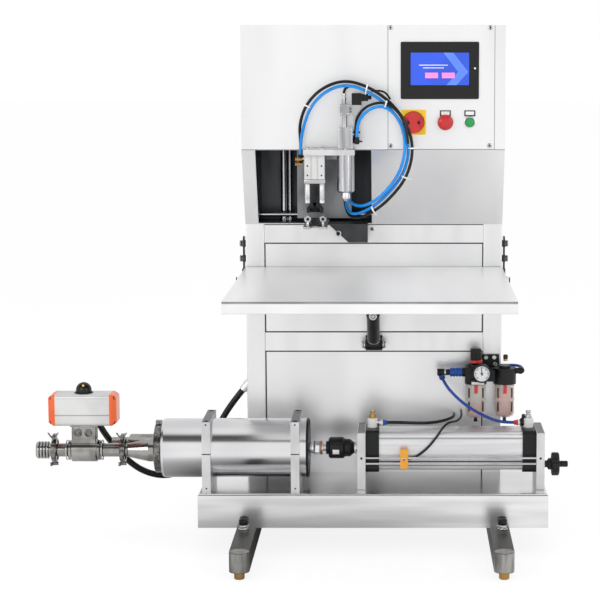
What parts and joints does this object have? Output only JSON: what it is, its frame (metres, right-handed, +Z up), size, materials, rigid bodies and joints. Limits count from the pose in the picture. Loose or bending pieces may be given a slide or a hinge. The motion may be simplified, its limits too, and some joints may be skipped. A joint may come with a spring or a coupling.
{
  "type": "bag-in-box filling machine",
  "caption": "Semi-automatic bag-in-box filler: steel column with tilting bag table, filling carriage in a sloped mouth, piston pump with air cylinder and valve line.",
  "frame": {"origin": "centre of the machine's box on the floor", "axes": "+X to the machine's right seen from the front, +Y to its rear, +Z up"},
  "size_m": [1.378, 1.1839, 1.35],
  "materials": {
    "brushed_stainless": "brushed",
    "liner_stainless": "satin",
    "polished_stainless": "polished",
    "dark_satin_steel": "satin",
    "satin_brass": "satin",
    "satin_aluminium": "satin",
    "black_anodised": "satin anodised",
    "black_plastic": "matte",
    "red_plastic": "semi-gloss",
    "yellow_plastic": "semi-gloss",
    "green_plastic": "semi-gloss",
    "white_plastic": "matte",
    "orange_paint": "semi-gloss",
    "clear_plastic": "clear",
    "blue_plastic": "semi-gloss",
    "blue_hose": "semi-gloss",
    "black_hose": "semi-matte"
  },
  "bodies": {
    "machine": {"base_tray": "brushed_stainless", "column_frame": "brushed_stainless", "cover_panels": "brushed_stainless", "head_casing": "brushed_stainless", "control_panel": "brushed_stainless", "table_brackets": "brushed_stainless", "head_liner": "liner_stainless", "spout_fork": "liner_stainless", "product_cylinder": "polished_stainless", "manifold": "polished_stainless", "line_pipes": "polished_stainless", "pipe_clamps": "polished_stainless", "ball_valve": "polished_stainless", "guide_rods": "polished_stainless", "reader_guide": "polished_stainless", "floor_beams": "dark_satin_steel", "wedge_bracket": "dark_satin_steel", "levelling_feet": "satin_brass", "pump_blocks": "satin_aluminium", "cylinder_plates": "satin_aluminium", "air_barrel": "satin_aluminium", "actuator_body": "satin_aluminium", "end_caps": "black_anodised", "touch_panel": "black_plastic", "service_unit": "black_plastic", "button_fittings": "black_plastic", "pressure_gauge": "black_plastic", "inlet_elbow": "black_plastic", "switch_plate": "yellow_plastic", "flow_controls": "white_plastic", "actuator_caps": "orange_paint", "air_bowls": "clear_plastic", "service_tube": "blue_hose", "port_hose": "black_hose", "sensor_cable": "black_hose", "valve_loom": "black_hose"},
    "carriage": {"carriage_plate": "satin_aluminium", "guided_cylinder": "satin_aluminium", "nozzle_body": "polished_stainless", "valve_blocks": "white_plastic", "coil_connector": "black_plastic", "loop_hose_blue": "blue_hose", "loop_hose_black": "black_hose", "branch_hose": "blue_hose"},
    "lifter": {"cap_lifter": "polished_stainless"},
    "spout": {"nozzle_tip": "polished_stainless"},
    "table": {"table_top": "brushed_stainless"},
    "strut": {"strut_tube": "black_anodised"},
    "strut_inner": {"strut_rod": "polished_stainless"},
    "pump": {"pump_piston": "polished_stainless", "rod_coupling": "black_anodised", "air_piston": "polished_stainless"},
    "ball": {"valve_ball": "polished_stainless"},
    "lead_screw": {"handwheel": "black_plastic"},
    "reader": {"reader_block": "yellow_plastic"},
    "main_switch": {"switch_knob": "red_plastic"},
    "stop": {"stop_button": "red_plastic"},
    "start": {"start_button": "green_plastic"},
    "regulator": {"regulator_knob": "black_plastic"},
    "shutoff": {"shutoff_sleeve": "blue_plastic"}
  },
  "joints": [
    {"name": "carriage_slide", "type": "slide", "parent": "machine", "child": "carriage", "axis": [1, 0, 0], "range_m": [-0.079, 0]},
    {"name": "lifter_slide", "type": "slide", "parent": "carriage", "child": "lifter", "axis": [0, 0, 1], "range_m": [-0.03, 0]},
    {"name": "spout_slide", "type": "slide", "parent": "carriage", "child": "spout", "axis": [0, 0, 1], "range_m": [-0.04, 0]},
    {"name": "table_hinge", "type": "hinge", "parent": "machine", "child": "table", "pos_m": [0.186, 0.1, 0.7], "axis": [1, 0, 0], "range_deg": [0, 20]},
    {"name": "strut_hinge", "type": "hinge", "parent": "machine", "child": "strut", "pos_m": [0.186, 0.08, 0.512], "axis": [1, 0, 0], "range_deg": [0, 14.5]},
    {"name": "strut_slide", "type": "slide", "parent": "strut", "child": "strut_inner", "axis": [0, -0.8209, 0.5711], "range_m": [-0.0613, 0]},
    {"name": "pump_slide", "type": "slide", "parent": "machine", "child": "pump", "axis": [1, 0, 0], "range_m": [-0.3, 0]},
    {"name": "valve_turn", "type": "hinge", "parent": "machine", "child": "ball", "pos_m": [-0.564, -0.0525, 0.255], "axis": [0, 0, 1], "range_deg": [0, 90]},
    {"name": "handwheel_turn", "type": "hinge", "parent": "machine", "child": "lead_screw", "pos_m": [0.629, -0.0875, 0.226], "axis": [1, 0, 0], "range_deg": [-2160, 10800]},
    {"name": "reader_slide", "type": "slide", "parent": "machine", "child": "reader", "axis": [1, 0, 0], "range_m": [-0.0601, 0.3001]},
    {"name": "main_switch_turn", "type": "hinge", "parent": "machine", "child": "main_switch", "pos_m": [0.29, 0.01, 1.102], "axis": [0, 1, 0], "range_deg": [0, 90]},
    {"name": "stop_push", "type": "slide", "parent": "machine", "child": "stop", "axis": [0, 1, 0], "range_m": [0, 0.005], "stiffness_N_per_m": 800},
    {"name": "start_push", "type": "slide", "parent": "machine", "child": "start", "axis": [0, 1, 0], "range_m": [0, 0.005], "stiffness_N_per_m": 500},
    {"name": "regulator_turn", "type": "hinge", "parent": "machine", "child": "regulator", "pos_m": [0.456, 0.06, 0.47], "axis": [0, 0, 1], "range_deg": [-1080, 1080]},
    {"name": "shutoff_slide", "type": "slide", "parent": "machine", "child": "shutoff", "axis": [1, 0, 0], "range_m": [-0.008, 0]}
  ],
  "couplings": [
    {"joint": "strut_hinge", "follows": "table_hinge", "ratio": 0.7225},
    {"joint": "strut_slide", "follows": "table_hinge", "m_per_rad": -0.1753},
    {"joint": "reader_slide", "follows": "handwheel_turn", "m_per_rad": 0.0015915}
  ]
}
